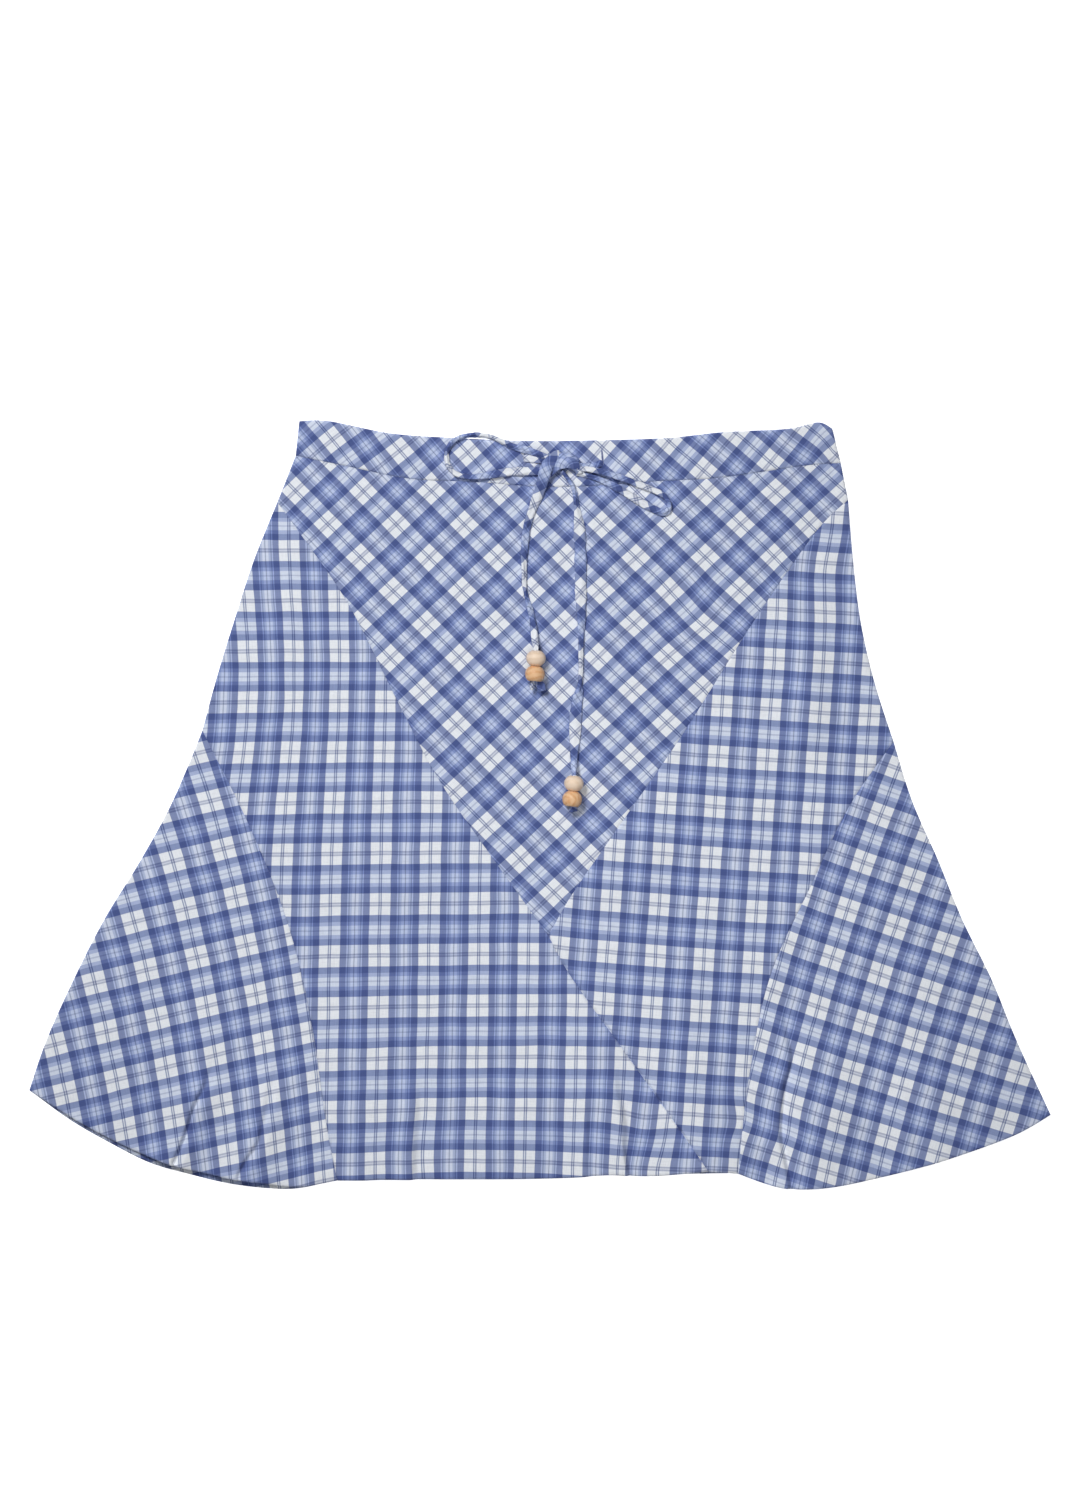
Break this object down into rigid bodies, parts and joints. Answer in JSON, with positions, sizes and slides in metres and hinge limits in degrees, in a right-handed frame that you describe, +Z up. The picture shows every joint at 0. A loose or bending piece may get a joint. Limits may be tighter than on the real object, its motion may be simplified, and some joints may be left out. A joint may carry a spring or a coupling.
{
  "type": "midi skirt",
  "caption": "Knee-length flared plaid skirt laid flat: bias V yoke, bias waistband with drawstring bow and wooden beads, slanted front seam, godets at the sides.",
  "frame": {"origin": "middle of the skirt's box on the surface it lies on, under the back panel", "axes": "+X across the skirt to the viewer's right, +Y towards the waistband, +Z up off the surface"},
  "size_m": [0.8316, 0.6254, 0.021],
  "materials": {
    "plaid_straight": "yarn dyed cotton plaid, matt, straight or angled grain",
    "plaid_bias": "yarn dyed cotton plaid, matt, cut on the bias",
    "tie_cloth": "narrow sewn tube of the same plaid, cut on the bias",
    "bead_pale": "turned pale wood, waxed",
    "bead_tan": "turned tan wood, waxed"
  },
  "bodies": {
    "root": {"panel_back": "plaid_straight", "godet_back_left": "plaid_straight", "godet_back_right": "plaid_straight", "waistband_back": "plaid_bias", "waistband_front": "plaid_bias", "yoke_front": "plaid_bias", "panel_front_left": "plaid_straight", "panel_front_right": "plaid_straight", "godet_front_left": "plaid_straight", "godet_front_right": "plaid_straight", "bow_knot": "tie_cloth", "bow_loop_left": "tie_cloth", "bow_loop_right": "tie_cloth", "tie_tail_left": "tie_cloth", "tie_tail_right": "tie_cloth", "bead_left_upper": "bead_pale", "bead_left_lower": "bead_tan", "tie_end_left": "tie_cloth", "bead_right_upper": "bead_pale", "bead_right_lower": "bead_tan", "tie_end_right": "tie_cloth"}
  },
  "joints": []
}
